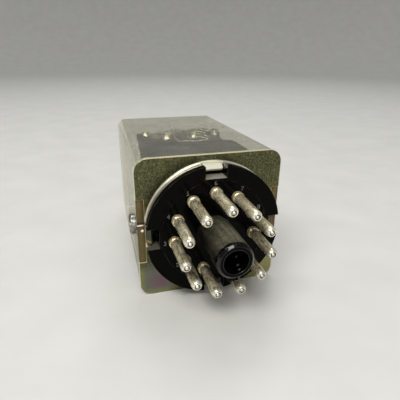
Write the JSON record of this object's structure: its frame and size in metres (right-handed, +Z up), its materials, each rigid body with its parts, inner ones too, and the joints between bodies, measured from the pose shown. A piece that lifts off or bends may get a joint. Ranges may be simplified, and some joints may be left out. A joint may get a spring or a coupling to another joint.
{
  "type": "plug-in power relay",
  "caption": "Plug-in power relay lying on its side: black plug base with round pins and a key post, yellow steel plate, clear cover, and a hinged armature with contacts inside.",
  "frame": {"origin": "centre of the pin circle on the plug's seat, the front of the base's rim", "axes": "+Y along the plug's axis from the pins to the cover's end, +Z up with the relay lying on its side, +X to the right seen from the pins"},
  "size_m": [0.0372, 0.0703, 0.0344],
  "materials": {
    "black_phenolic": "gloss black moulding",
    "tinned_brass": "tarnished tin over brass",
    "passivated_steel": "yellow passivated, stained",
    "clear_plastic": "clear with a smoky tint",
    "plated_steel": "bright zinc plate",
    "magnet_iron": "satin zinc plate",
    "spring_steel": "bright drawn wire",
    "brown_plastic": "satin brown moulding",
    "copper_winding": "enamelled copper wire",
    "coil_tape": "dark wrapped tape",
    "brass_strip": "bare brass",
    "bronze_blade": "bare spring bronze",
    "silver_contact": "bright contact metal",
    "wire_cover": "soft insulation",
    "copper_braid": "bare twisted copper"
  },
  "bodies": {
    "frame": {"plug_base": "black_phenolic", "contact_block": "black_phenolic", "pin_1": "tinned_brass", "pin_2": "tinned_brass", "pin_3": "tinned_brass", "pin_4": "tinned_brass", "pin_5": "tinned_brass", "pin_6": "tinned_brass", "pin_7": "tinned_brass", "pin_8": "tinned_brass", "pin_9": "tinned_brass", "pin_10": "tinned_brass", "pin_11": "tinned_brass", "mounting_plate": "passivated_steel", "cover": "clear_plastic", "cover_screw_left": "plated_steel", "cover_screw_right": "plated_steel", "core_screw": "plated_steel", "block_screws": "plated_steel", "hinge_pin": "plated_steel", "yoke": "magnet_iron", "core": "magnet_iron", "return_spring": "spring_steel", "bobbin": "brown_plastic", "winding": "copper_winding", "coil_wrap": "coil_tape", "coil_terminals": "brass_strip", "nc_strip_1": "brass_strip", "nc_strip_2": "brass_strip", "nc_strip_3": "brass_strip", "no_strip_1": "brass_strip", "no_strip_2": "brass_strip", "no_strip_3": "brass_strip", "common_strip_1": "brass_strip", "common_strip_2": "brass_strip", "common_strip_3": "brass_strip", "nc_contacts": "silver_contact", "no_contacts": "silver_contact", "coil_leads": "wire_cover", "contact_lead_1": "wire_cover", "contact_lead_2": "wire_cover", "contact_lead_3": "wire_cover", "contact_lead_4": "wire_cover", "contact_lead_5": "wire_cover", "contact_lead_6": "wire_cover", "contact_lead_7": "wire_cover", "contact_lead_8": "wire_cover", "contact_lead_9": "wire_cover", "pigtail_1": "copper_braid", "pigtail_2": "copper_braid", "pigtail_3": "copper_braid"},
    "armature": {"armature": "magnet_iron", "contact_carrier": "brown_plastic", "carrier_rivets": "plated_steel", "blade_rivets": "plated_steel", "moving_contacts": "silver_contact", "moving_blade_1": "bronze_blade", "moving_blade_2": "bronze_blade", "moving_blade_3": "bronze_blade"}
  },
  "joints": [
    {"name": "armature_hinge", "type": "hinge", "parent": "frame", "child": "armature", "pos_m": [0, 0.0389, -0.01175], "axis": [1, 0, 0], "range_deg": [0, 4.5], "stiffness_Nm_per_rad": 0.03, "springref_deg": -11.46, "deforming": ["return_spring", "pigtail_1", "pigtail_2", "pigtail_3"]}
  ]
}
